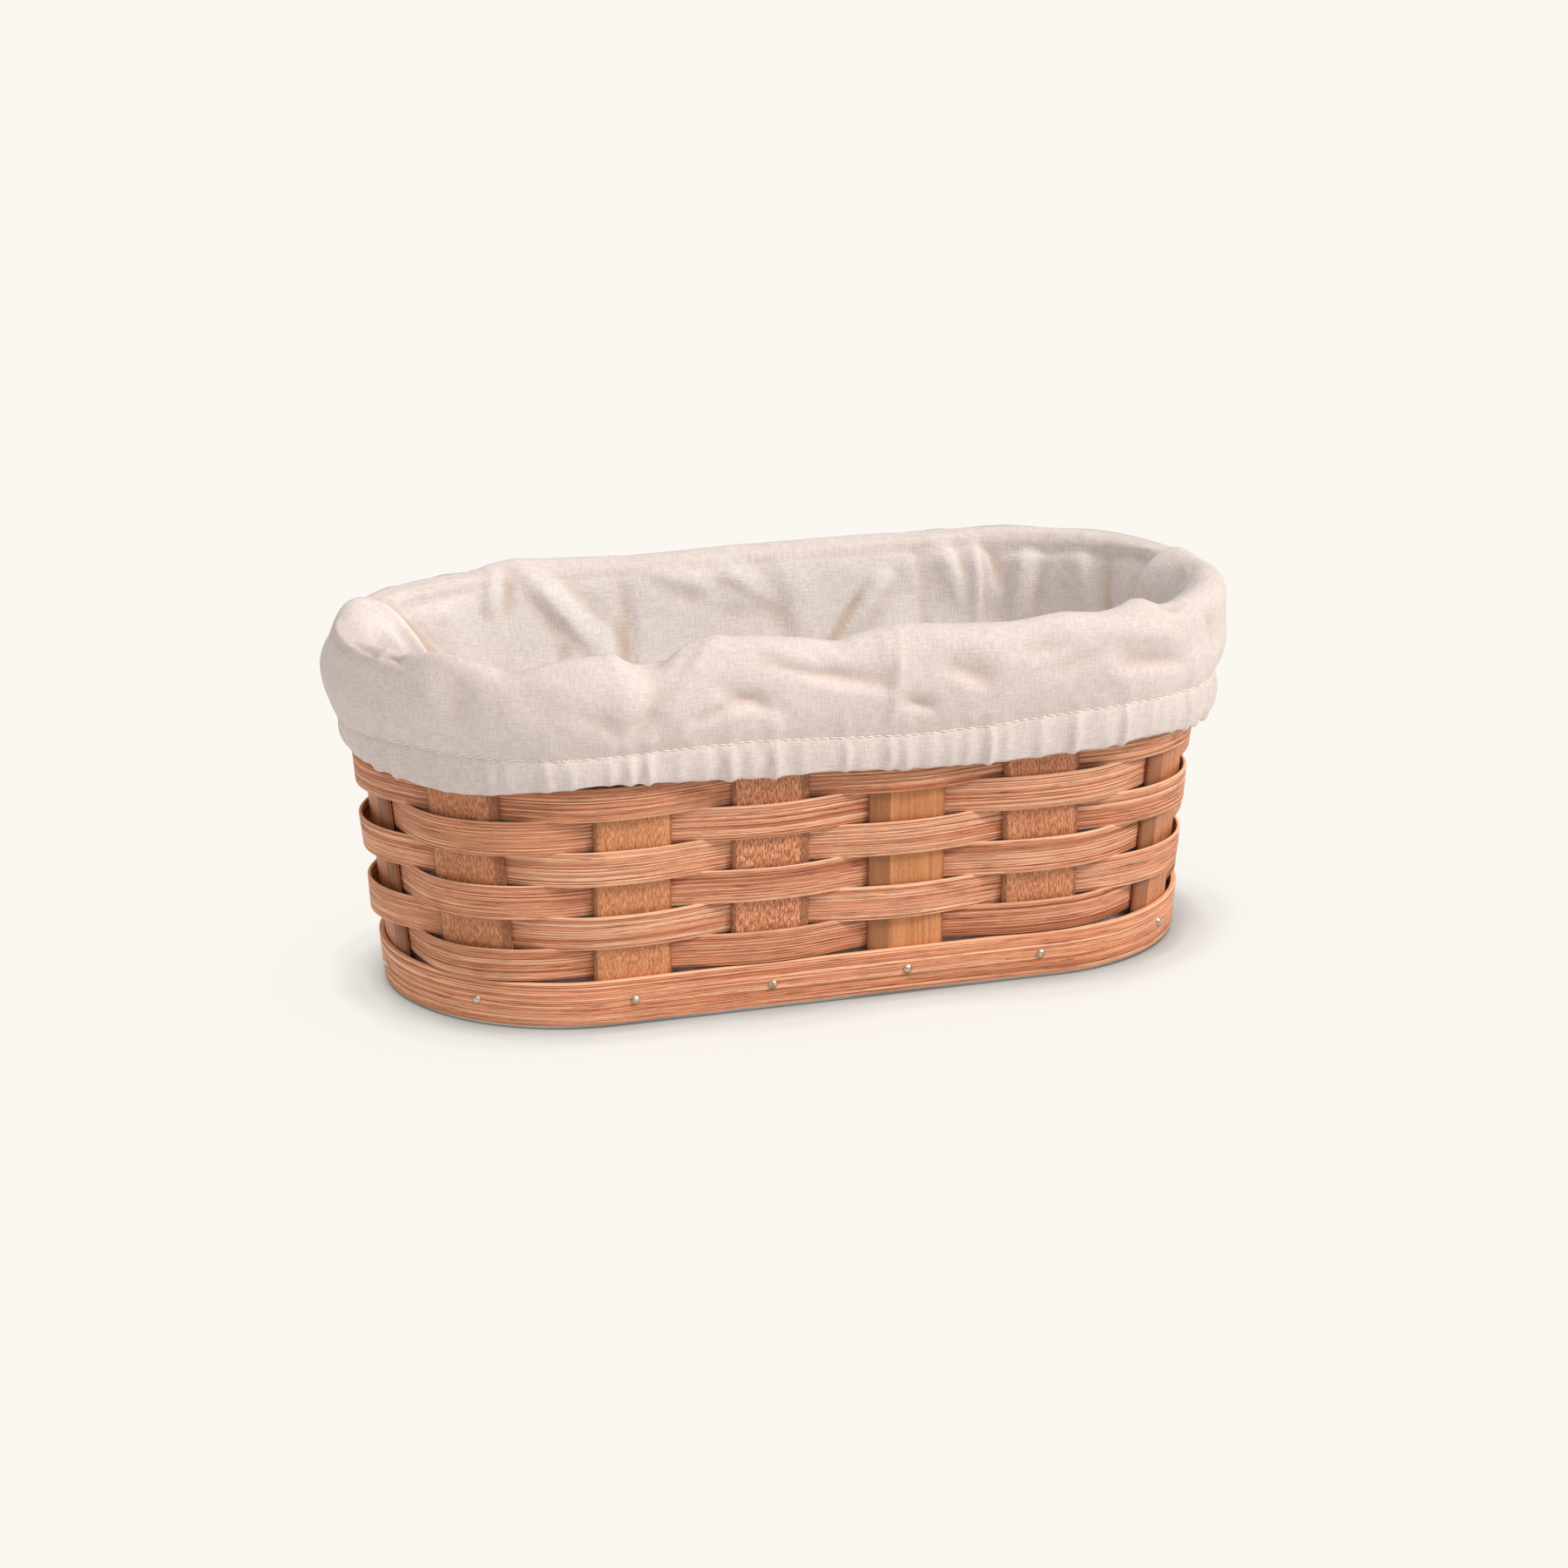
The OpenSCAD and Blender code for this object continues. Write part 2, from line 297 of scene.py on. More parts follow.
def make_band(node, side, seed, lap_at, lap_side):
    """A wide splint round the wall, outside (side 1) or inside (-1), whose thinned ends lap."""
    low, high = (corner[2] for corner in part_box(node))
    lap = 0.5
    w = lap_at + np.linspace(0, STAVES + lap, 30 * STAVES)
    begin = np.clip((w - w[0]) / lap, 0, 1)
    end = np.clip(1 - (w[-1] - w) / lap, 0, 1)
    thick = BAND_T * (0.45 + 0.5 * begin - 0.35 * end)
    off = side * (FACE + 0.05 * MM + thick / 2 + lap_side * end * BAND_T * 0.62)
    tall = np.full_like(w, high - low)
    z_mid = (low + high) / 2 + 0.1 * MM * wave_noise(w / STAVES, seed, 2)
    obj = round_strip(f"splint_{node}", w, z_mid, off, tall, thick, seed, 0.0, True)
    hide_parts(node)
    return obj


# ---------------------------------------------------------------- the liner

# Places on the liner are (s, h) in millimetres: s round the rim from the front centre, positive
# to the right, and h down the cloth from the crest of the fold, negative on the inside.

FLOOR_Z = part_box("liner_floor")[1][2]
CLOTH_T = 0.5 * MM
LOOP = 4 * quarter(RIM_TOP)  # once round the rim
LOOP_MM = LOOP / MM
INSIDE_LIMIT = 4.5  # the cloth keeps this far in from the staves' middle, clear of the weave
OUTSIDE_LIMIT = 4.75  # and this far out, clear of the rim band's tacks
CREST_LIMIT = RIM_TOP / MM + 1.2
RIM_CORE = 7.0  # from that height down to the middle that cloth in the rim is moved away from

# The cloth's section, as (offset from the staves, height): up the inside, over the rim and down
# to the stitch line.
PROFILE = [(-5.6, 11.2), (-5.4, 30), (-5.3, 60), (-5.4, 90), (-5.8, 106), (-5.0, 115), (-0.8, 120.6),
           (4.0, 120.2), (7.6, 115.6), (9.2, 108.4), (9.0, 101.4), (7.8, 95.4), (6.4, 91.4), (5.9, 90.0)]

# Round the rim: how far the crest stands above the section's, and where the stitch line runs.
# Many knots of these three lists are measured heights at measured places, worked out outside
# this script, rounded and then adjusted. They aren't a rule, and a formula would be better.
CREST = [(-176, -2), (-156, 1), (-146, 1.0), (-128, 4), (-117, 1.5), (-106, -2), (-92, 1), (-76, 2),
         (-67, -3.5), (-60, -2.5), (-46, 4), (-30, 4), (-4, 0), (20, 3), (45, 0.5), (60, 0), (74, 2), (87, 0),
         (99, 2.5), (114, -2), (140, -1), (165, -1.5), (185, -4), (215, -5.5), (238, -7),
         (255, -6.8), (270, -5), (293, -2.6), (324, -2), (350, -2), (-320, -2.6), (-304, -1.5),
         (-285, -0.6), (-272, 0), (-260, -4), (-245, -5), (-225, -3), (-200, -2.5)]
STITCH = [(-176, -1), (-157, 2.2), (-140, 3), (-121, 2), (-91, 1.2), (-66, 1.6), (-33, 2), (0, 0), (28, -1.4),
          (55, -0.5), (83, 1.3), (103, 1), (140, -1), (176, -1.5), (240, 0), (350, 0), (-240, 0)]
HEM_TALL = [(-176, 8.5), (-157, 11), (-140, 13.4), (-121, 13.4), (-104, 11.2), (-82, 9.4), (-58, 11.2),
            (-27, 13), (-5, 11.5), (28, 12), (53, 13.4), (88, 14.4), (107, 12.8), (130, 14.4),
            (176, 13), (230, 11), (350, 11), (-230, 10.5)]

# Folds given one by one, a few of them at measured places: start, end, width on the left and right
# of the way from start to end, height.
FOLDS = [
    # Inside, at the left end: a deep tuck that runs down and back, with its dark side to the back.
    ((-206, 6), (-252, -50), 11.0, 2.6, 8.0), ((-217, -4), (-259, -52), 2.4, 6.0, -4.0),
    ((-196, -2), (-222, -26), 5, 3, 2.2), ((-208, -4), (-238, -40), 6, 5, -1.6),
    # Inside, along the back, from left to right.
    ((-270, -2), (-266, -18), 1.8, 3.8, 1.9), ((-276, 0), (-273, -22), 3.4, 2.4, -0.9),
    ((-277, -1), (-305, -36), 3.0, 7.0, 2.2), ((-288, -2), (-314, -34), 6.0, 4.0, -0.9),
    ((-318, -4), (-344, -16), 3.0, 6.0, 1.2), ((-346, -8), (-368, -24), 2.6, 6.0, 1.3),
    ((334, -6), (324, -44), 3.6, 8.0, 1.5), ((344, -4), (334, -34), 6.0, 4.0, -0.6),
    ((296, -17), (314, -44), 5.0, 2.4, 3.2), ((303, -20), (320, -47), 2.6, 4.0, -3.0),
    ((278, 1), (270, -30), 4.0, 3.5, 1.9), ((286, -4), (281, -34), 3.0, 4.0, -0.8),
    ((265, 4), (262, -34), 4.0, 1.3, 2.6), ((259, -4), (255, -24), 1.6, 6.0, -1.3),
    ((245, -4), (249, -34), 2.4, 5.0, 1.9), ((238, -8), (240, -44), 3.0, 5.0, -0.8),
    ((225, -3), (218, -40), 5.0, 4.0, 2.0), ((214, -1), (209, -38), 3.0, 4.5, -1.0),
    ((203, -2), (204, -40), 5.5, 4.0, 1.6),
    # Inside, at the right end: a narrow tuck, hollow behind its edge.
    ((184, 3), (193, -30), 1.2, 14.0, 6.5), ((188, 2), (197, -30), 2.0, 1.1, -3.2),
    ((150, -1), (160, -20), 5.0, 6.0, 1.6),
    # The crest along the front: lobes with sharp sides.
    ((-58, 13), (-38, -1), 1.8, 8.0, 1.7), ((-66, 8), (-55, -6), 3.5, 3.0, -1.4),
    ((-76, 6), (-74, -7), 4.0, 2.2, 1.3), ((-109, 6), (-107, -6), 4.5, 3.0, -1.2),
    ((-147, 7), (-142, -5), 2.2, 3.2, -1.8), ((-152, 8), (-150, -3), 2.0, 2.0, 1.3),
    ((-4, 6), (2, -6), 4.5, 6.0, -1.2), ((104, 5), (96, -5), 4.5, 3.0, 1.3),
    ((118, 3), (108, 1), 1.8, 3.0, -1.8),
    # The cuff along the front, from left to right.
    ((-160, 16), (-140, 27), 4.0, 5.0, -1.0), ((-146, 4), (-150, 22), 4.5, 5.0, -0.9),
    ((-134, 6), (-128, 24), 5.0, 6.0, 0.9), ((-119, 9), (-124, 26), 5.5, 4.5, -1.2),
    ((-104, 10), (-92, 22), 4.0, 6.0, -0.7), ((-90, 18), (-74, 27), 3.0, 4.5, -0.9),
    ((-62, 9), (-68, 28), 2.8, 4.5, -1.9), ((-70, 6), (-77, 24), 5.0, 4.0, 1.3),
    ((-60, 10), (-43, -1), 2.4, 1.3, -1.5), ((-52, 25), (-30, 19), 2.6, 2.2, -1.6),
    ((-44, 16), (-22, 25), 2.6, 3.6, -2.0), ((-28, 5), (-8, 11), 4.5, 2.0, 2.2),
    ((-28, 9), (14, 19), 1.8, 4.5, -3.2), ((17, 2), (14, 28), 1.4, 2.2, 1.5),
    ((18, 24), (29, 27), 1.4, 2.8, -2.0), ((31, 14), (48, 21), 2.2, 4.5, -2.0),
    ((30, 8), (62, 10), 4.5, 4.5, 1.3), ((50, 10), (76, 13), 2.8, 4.0, -1.4),
    ((66, 20), (84, 15), 3.0, 2.4, -1.2), ((84, 8), (112, 14), 3.6, 3.6, 1.8),
    ((90, 20), (118, 24), 2.6, 3.6, -1.7), ((126, 6), (134, 24), 3.0, 4.0, -1.6)]


def knotted_line(knots, s):
    """Smooth value round the rim through (s, value) knots: straight runs, then a 3 mm blur."""
    at, value = np.array(sorted((k % LOOP_MM, v) for k, v in knots)).T
    even = np.arange(0, LOOP_MM, 1.0)
    line = np.interp(even, at, value, period=LOOP_MM)
    reach = np.arange(-12, 13)
    bell = np.exp(-((reach / 5.0) ** 2))
    line = sum(w * np.roll(line, k) for w, k in zip(bell / bell.sum(), reach))
    return np.interp(s % LOOP_MM, even, line, period=LOOP_MM)


def smooth_path(knots, count):
    """Curve through the knots, count points of it, and how far along it each point is.

    The curve is Catmull-Rom. Two thirds of the points lie on its last half, where it shows most.
    """
    k = np.array(knots, dtype=float)
    k = np.vstack([2 * k[0] - k[1], k, 2 * k[-1] - k[-2]])
    t = np.linspace(0, 1, 40)[:, None]
    parts = [0.5 * (2 * k[i] + (k[i + 1] - k[i - 1]) * t
                    + (2 * k[i - 1] - 5 * k[i] + 4 * k[i + 1] - k[i + 2]) * t**2
                    + (3 * k[i] - k[i - 1] - 3 * k[i + 1] + k[i + 2]) * t**3)
             for i in range(1, len(k) - 2)]
    fine = np.vstack(parts)
    along = np.concatenate([[0], np.cumsum(np.hypot(*np.diff(fine, axis=0).T))])
    share = np.linspace(0, 1, count)
    spaced = along[-1] * (1 - (1 - share) ** 1.55 * 0.6 - (1 - share) * 0.4)
    return np.stack([np.interp(spaced, along, fine[:, c]) for c in range(2)], axis=-1), spaced


def away_from(s, centre):
    """Distance round the rim from centre to s, the short way round."""
    return (s - centre + LOOP_MM / 2) % LOOP_MM - LOOP_MM / 2


def fold(s, h, start, end, left, right, height):
    """A fold in the cloth from start to end: a bell across its line, left and right wide.

    It fades out over its two ends: height * exp(-d^2 / width^2) * (1 - (a / 0.62)^2)^1.2, where
    d is the distance off the line and a runs from -0.5 to 0.5 along it.
    """
    (s0, h0), (s1, h1) = start, end
    length = math.hypot(s1 - s0, h1 - h0)
    us, uh = (s1 - s0) / length, (h1 - h0) / length
    ds, dh = away_from(s, s0), h - h0
    along = (ds * us + dh * uh) / length - 0.5
    off_line = dh * us - ds * uh
    width = np.where(off_line > 0, left, right)
    fade = np.clip(1 - (along / 0.62) ** 2, 0, None) ** 1.2
    return height * np.exp(-((off_line / width) ** 2)) * fade


def clear_of_rim(z, off):
    """Moves cloth that is in the wood out to its face, along the ray from the rim's middle.

    The wood with its clearance is a block that reaches from the staves' middle to the inside
    and outside limits and up to the crest's. A point below the rim's middle moves level.
    """
    limit = np.where(off < 0, INSIDE_LIMIT, OUTSIDE_LIMIT)
    middle = CREST_LIMIT - RIM_CORE
    rise = z - middle
    to_side = limit / np.maximum(np.abs(off), 0.01)
    to_top = np.where(rise > 0.01, RIM_CORE / np.maximum(rise, 0.01), np.inf)
    grow = np.maximum(np.minimum(to_side, to_top), 1)
    grow = np.where(np.isfinite(grow), grow, 1)
    return np.where(rise > 0, middle + rise * grow, z), off * grow


def keep_above(x, limit, ease):
    """x, eased so that it never falls below limit."""
    return limit + 0.5 * ((x - limit) + np.sqrt((x - limit) ** 2 + ease**2))


def gather_list():
    """The gathers that the elastic makes: (place, width, depth, reach up the cuff, slant)."""
    rng = np.random.default_rng(11)
    gathers, at = [], 0.0
    while at < LOOP_MM - 4:
        gathers.append((at, 1.3 + 1.5 * rng.random(), 0.35 + 0.9 * rng.random() ** 1.5,
                        5 + 12 * rng.random() ** 2, rng.normal() * 3))
        at += 4.5 + 7.5 * rng.random()
    return gathers


GATHERS = gather_list()
BAG_ROWS, BAG_STATIONS = 92, 540
CREASE_SHADE_DEPTH = 0.75  # how deep a crease is, below the cloth round it, where its painted shade is full


def make_liner_bag():
    """The liner's wall, fold and cuff as one cloth, from the floor's edge to the stitch line.

    Each point also carries its painted crease shade, from its depth below the blurred cloth
    (less on the cuff), and whether it is on the inside of the basket, which is painted lighter.
    """
    path, along = smooth_path(PROFILE, BAG_ROWS)
    f = np.arange(BAG_STATIONS) / BAG_STATIONS
    s = (f * LOOP_MM)[:, None]
    h = (along - along[np.argmax(path[:, 1])])[None, :]
    last = h.max()
    tangent = np.gradient(path, axis=0)
    tangent /= np.linalg.norm(tangent, axis=1, keepdims=True)
    normal = np.stack([-tangent[:, 1], tangent[:, 0]], axis=-1)
    normal *= np.sign(normal[np.argmax(path[:, 1]), 1])  # away from the rim
    crest_bell = np.exp(-((h / 15) ** 2))
    stitch_bell = np.clip(h / last, 0, 1) ** 2
    lift = knotted_line(CREST, s) * crest_bell + knotted_line(STITCH, s) * stitch_bell
    push = np.zeros(np.broadcast_shapes(s.shape, h.shape))

    # Where the cuff swings out: low at the left end, high at the right end and again at its hem.
    left_end = np.exp(-((away_from(s, -160) / 46) ** 2))
    right_end = np.exp(-((away_from(s, 160) / 44) ** 2))
    push += left_end * (0.6 * np.exp(-(((h - 23) / 10) ** 2)) - 3.4 * np.exp(-(((h - 5) / 9) ** 2)))
    push += left_end * 0.6 * np.clip((h - 22) / 12, 0, 1)
    push += right_end * (0.4 * np.exp(-(((h - 8) / 6) ** 2)) + 0.9 * np.clip((h - 20) / 12, 0, 1))
    push -= right_end * 1.6 * np.exp(-(((h - 17) / 8) ** 2))
    back_corners = np.exp(-((away_from(s, 205) / 26) ** 2)) + np.exp(-((away_from(s, -232) / 26) ** 2))
    push -= back_corners * 3.0 * np.exp(-(((h - 9) / 11) ** 2))
    push += 0.9 * wave_noise(f, 6, 4, 8)[:, None] * np.exp(-(((h - 18) / 12) ** 2))

    for start, end, left, right, height in FOLDS:
        push += fold(s, h, start, end, left, right, height)
    for at, width, depth, reach, slant in GATHERS:
        push += fold(s, h, (at, last + 4), (at + slant, last - reach), width, width * 1.3, depth * 0.8)

    # Small slack wrinkles everywhere, and long soft ones down the inside.
    rng = np.random.default_rng(12)
    for _ in range(120):
        at, start = rng.random() * LOOP_MM, -50 + 82 * rng.random()
        turn, length = rng.normal() * 0.9, 7 + 14 * rng.random()
        width = 1.6 + 2.6 * rng.random()
        push += fold(s, h, (at, start), (at + length * math.sin(turn), start + length * math.cos(turn)),
                     width, width * (1 + rng.random()), rng.normal() * 0.42)
    for _ in range(30):
        at, start = rng.random() * LOOP_MM, -8 - 40 * rng.random()
        width = 4 + 5 * rng.random()
        push += fold(s, h, (at, start), (at + rng.normal() * 14, start - 25 - 30 * rng.random()),
                     width, width * 0.6, rng.normal() * 1.1)

    off = path[None, :, 0] + push * normal[None, :, 0]
    z = path[None, :, 1] + push * normal[None, :, 1] + lift
    z, off = clear_of_rim(z, off)
    z, off = z * MM, off * MM
    even = push
    for _ in range(14):
        even = 0.5 * even + 0.25 * (np.roll(even, 1, axis=0) + np.roll(even, -1, axis=0))
        even[:, 1:-1] = 0.5 * even[:, 1:-1] + 0.25 * (even[:, 2:] + even[:, :-2])
    # Painted light and shade: the inside is painted lighter, and creases sunk below the blurred cloth get a
    # warm, dark painted shade, stronger on the inside.
    inside = np.clip(-0.5 - h / 8, 0, 1)
    crease_shade = np.clip((even - push) / CREASE_SHADE_DEPTH - 0.15, 0, 1) * (0.4 + 0.6 * inside)
    points = wall_point(f[:, None] * 4 * quarter(z), z, off)
    u = np.arange(BAG_STATIONS + 1) / BAG_STATIONS * LOOP
    uv = np.stack(np.broadcast_arrays(u[:, None], (along * MM)[None, :]), axis=-1)
    bag = grid_object("liner_bag", points, uv, loop_u=True, fields={"crease_shade": crease_shade, "inside": inside})
    thicken(bag)
    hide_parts("liner_wall", "liner_cuff")
    return bag, z[:, -1], off[:, -1]


def thicken(obj):
    """Gives a sheet its cloth's thickness, half to each side."""
    solid = obj.modifiers.new("cloth_thickness", "SOLIDIFY")
    solid.thickness = CLOTH_T
    solid.offset = 0


HEM_STATIONS = 900


def hem_shape(stitch_z, stitch_off, f):
    """Stitch line, height, gathers and pull of the hem at shares f round the rim, in metres."""
    known = np.arange(BAG_STATIONS) / BAG_STATIONS
    z = np.interp(f, known, stitch_z, period=1)
    off = np.interp(f, known, stitch_off, period=1)
    s = f * LOOP_MM
    pucker = sum(depth * np.exp(-((away_from(s, at) / width) ** 2))
                 for at, width, depth, *_ in GATHERS)
    end_pull = np.exp(-((away_from(s, -165) / 40) ** 2))
    return z, off, knotted_line(HEM_TALL, s) * MM, pucker - pucker.mean(), -(0.9 + 1.2 * end_pull) * MM


def make_hem(stitch_z, stitch_off):
    """The casing below the stitch line: two plies folded at the lower edge, puckered by elastic.

    The section is a flat loop. The puckers push its outer ply out and lift its lower edge, and
    they are strongest below the middle.
    """
    f = np.arange(HEM_STATIONS) / HEM_STATIONS
    z0, off0, tall, pucker, pull = (v[:, None] if np.ndim(v) else v
                                    for v in hem_shape(stitch_z, stitch_off, f))
    down = np.array([0.0, 0.05, 0.12, 0.22, 0.34, 0.48, 0.62, 0.76, 0.88, 0.96, 1.0])
    outer = np.array([0.1, 0.55, 0.85, 1.1, 1.3, 1.4, 1.4, 1.25, 1.0, 0.7, 0.2])
    inner = np.array([-0.6, -0.6, -0.6, -0.55, -0.5, -0.5, -0.5, -0.5, -0.5, -0.35, 0])
    share = np.concatenate([down, down[-2::-1]])[None, :]
    side = np.concatenate([outer, inner[-2::-1]])[None, :]
    is_outer = side > 0
    sway = np.sin(share * np.pi * 0.8) ** 0.8
    off = off0 + pull * share + (side + pucker * sway * np.where(is_outer, 1.35, 0.3)) * MM
    off = keep_above(off, np.where(is_outer, OUTSIDE_LIMIT + 0.9, OUTSIDE_LIMIT - 0.3) * MM, 0.3 * MM)
    z = z0 + 0.15 * MM - share * (tall + 0.55 * MM * pucker * share)
    points = wall_point(f[:, None] * 4 * quarter(z), z, off)
    u = np.arange(HEM_STATIONS + 1) / HEM_STATIONS * LOOP
    v = np.append(share, 2.0) * 12 * MM
    uv = np.stack(np.broadcast_arrays(u[:, None], v[None, :]), axis=-1)
    hem = grid_object("liner_casing", points, uv, loop_u=True, loop_v=True)
    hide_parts("liner_hem")
    return hem


def make_elastic(stitch_z, stitch_off):
    """The flat elastic inside the casing, half way between its plies and leaning in with them."""
    f = np.arange(300) / 300
    z0, off0, tall, _, pull = hem_shape(stitch_z, stitch_off, f)
    wide = np.array([-1, -1, 1, 1]) * 3 * MM
    thick = np.array([-1, 1, 1, -1]) * 0.15 * MM
    share = 0.5 - wide / tall[:, None]
    z = z0[:, None] - share * tall[:, None]
    off = off0[:, None] + pull[:, None] * share
    off = np.maximum(off, (OUTSIDE_LIMIT + 0.35) * MM) + 0.3 * MM + thick
    points = wall_point(f[:, None] * 4 * quarter(z), z, off)
    u = np.arange(301) / 300 * LOOP
    uv = np.stack(np.broadcast_arrays(u[:, None], np.arange(5)[None, :] * 6 * MM), axis=-1)
    tape = grid_object("elastic_tape", points, uv, loop_u=True, loop_v=True)
    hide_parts("hem_elastic")
    return tape


STITCH_PITCH = 3.1  # from one stitch to the next
THREAD_R = 0.22


def make_stitches(stitch_z, stitch_off):
    """The sewing thread on the stitch line: a row of short stitches and one knot, as one mesh.

    Each stitch is a spindle of five rings of six points that dips into the cloth at both ends.
    """
    known = np.arange(BAG_STATIONS) / BAG_STATIONS
    count = int(LOOP_MM / STITCH_PITCH)
    rng = np.random.default_rng(31)
    middle = (np.arange(count) + 0.5 + 0.08 * rng.normal(size=count)) / count * LOOP_MM
    long = STITCH_PITCH * (0.8 + 0.12 * rng.random(count))
    middle, long = np.append(middle, [-91.4, -90.2, -92.0]), np.append(long, [1.6, 1.6, 1.9])
    tilt = np.append(0.12 * rng.normal(size=count), [0.9, -0.6, -0.9])
    part = np.linspace(-0.5, 0.5, 5)[None, :]
    bow = 1 - (2 * part) ** 2
    s = middle[:, None] + part * long[:, None]
    z = np.interp(s / LOOP_MM % 1, known, stitch_z, period=1) + (part * tilt[:, None] + 0.1) * MM
    off = np.interp(s / LOOP_MM % 1, known, stitch_off, period=1) + (0.25 + 0.3 * bow) * MM
    turn = np.arange(6) * np.pi / 3
    radius = THREAD_R * MM * (0.45 + 0.55 * bow)[:, :, None]
    z = z[:, :, None] + radius * np.sin(turn)
    off = off[:, :, None] + radius * np.cos(turn)
    points = wall_point((s / LOOP_MM)[:, :, None] * 4 * quarter(z), z, off)
    ring, step = np.arange(6), np.arange(4)
    one = np.stack([step[:, None] * 6 + ring, step[:, None] * 6 + (ring + 1) % 6,
                    (step[:, None] + 1) * 6 + (ring + 1) % 6, (step[:, None] + 1) * 6 + ring], axis=-1)
    sides = (np.arange(len(s))[:, None, None] * 30 + one.reshape(1, -1, 4)).reshape(-1, 4)
    caps = [[k * 30 + r for r in end] for k in range(len(s)) for end in (range(5, -1, -1), range(24, 30))]
    mesh = bpy.data.meshes.new("stitch_thread")
    mesh.from_pydata(points.reshape(-1, 3).tolist(), [], sides.tolist() + caps)
    mesh.update()
    obj = bpy.data.objects.new("stitch_thread", mesh)
    bpy.context.scene.collection.objects.link(obj)
    return obj


def make_liner_floor():
    """The liner's floor: an oval of cloth on the board, slightly uneven, joined to the wall."""
    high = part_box("liner_floor")[1]
    arc = high[1] - 0.3 * MM
    run = high[0] - high[1]
    turn = np.linspace(-1, 1, 130) * (np.pi / 2 - 0.02)
    x = (run + arc) * np.sin(turn)
    half = np.sqrt(arc**2 - np.maximum(np.abs(x) - run, 0) ** 2)
    share = np.linspace(-1, 1, 61)
    y = half[:, None] * share[None, :]
    x = x[:, None] + 0 * y
    wave = np.sin(x / 0.019 + 2 * np.sin(y / 0.024)) * np.sin(y / 0.015 + x / 0.05)
    z = FLOOR_Z - 0.2 * MM + 0.5 * MM * wave * (1 - share[None, :] ** 4)
    points = np.stack([x, y, z], axis=-1)
    uv = np.stack([x, y], axis=-1)
    # The floor counts as inside, so the material paints it lighter, as painted light.
    obj = grid_object("liner_floor_cloth", points, uv, fields={"inside": 1.0})
    thicken(obj)
    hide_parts("liner_floor")
    return obj, (2 * (run + arc), 2 * arc, 4 * run * arc + np.pi * arc**2)


# ---------------------------------------------------------------- colours and materials


def linear(hex_colour):
    """An sRGB hex colour as linear red, green, blue and 1."""
    parts = [int(hex_colour[i:i + 2], 16) / 255 for i in (1, 3, 5)]
    return [c / 12.92 if c <= 0.04045 else ((c + 0.055) / 1.055) ** 2.4 for c in parts] + [1.0]


def new_material(name):
    """A material with its node tree cleared down to a shader, and the tree's add function."""
    mat = bpy.data.materials.new(name)
    mat.use_nodes = True
    tree = mat.node_tree
    return mat, tree, tree.nodes["Principled BSDF"]


def add(tree, kind, links=None, **settings):
    """Adds a node. settings are its properties or, by number or name, its inputs' values."""
    node = tree.nodes.new(kind)
    inputs = settings.pop("inputs", {})
    for key, value in settings.items():
        setattr(node, key, value)
    for key, value in inputs.items():
        node.inputs[key].default_value = value
    for key, source in (links or {}).items():
        tree.links.new(source, node.inputs[key])
    return node


def ramp(tree, source, stops):
    """A colour ramp fed by source, through (position, hex colour) stops."""
    node = add(tree, "ShaderNodeValToRGB", {0: source})
    points = node.color_ramp.elements
    while len(points) < len(stops):
        points.new(0.5)
    for point, (place, colour) in zip(points, stops):
        point.position = place
        point.color = linear(colour)
    return node.outputs[0]


def grain(tree, vector, long_mm, wide_mm, detail=4.0, rough=0.6):
    """Noise drawn out along the strip: its features are about long_mm by wide_mm."""
    scaled = add(tree, "ShaderNodeMapping", {0: vector},
                 inputs={3: (1 / (long_mm * MM), 1 / (wide_mm * MM), 1)})
    return add(tree, "ShaderNodeTexNoise", {"Vector": scaled.outputs[0]}, noise_dimensions="2D",
               inputs={"Scale": 1.0, "Detail": detail, "Roughness": rough}).outputs[0]


def mix(tree, factor, a, b, blend="MIX"):
    """Colour a to b by factor. Each may be a socket or a value."""
    node = add(tree, "ShaderNodeMix", data_type="RGBA", blend_type=blend)
    for place, value in ((0, factor), (6, a), (7, b)):
        if isinstance(value, bpy.types.NodeSocket):
            tree.links.new(value, node.inputs[place])
        else:
            node.inputs[place].default_value = value
    return node.outputs[2]


def sum_of(tree, a, b, operation="ADD"):
    """One Math node on two sockets or numbers."""
    node = add(tree, "ShaderNodeMath", operation=operation)
    for place, value in enumerate((a, b)):
        if isinstance(value, bpy.types.NodeSocket):
            tree.links.new(value, node.inputs[place])
        else:
            node.inputs[place].default_value = value
    return node.outputs[0]


def bump(tree, shader, height, strength, distance):
    """Feeds a height to the shader's normal."""
    node = add(tree, "ShaderNodeBump", {"Height": height},
               inputs={"Strength": strength, "Distance": distance})
    tree.links.new(node.outputs[0], shader.inputs["Normal"])


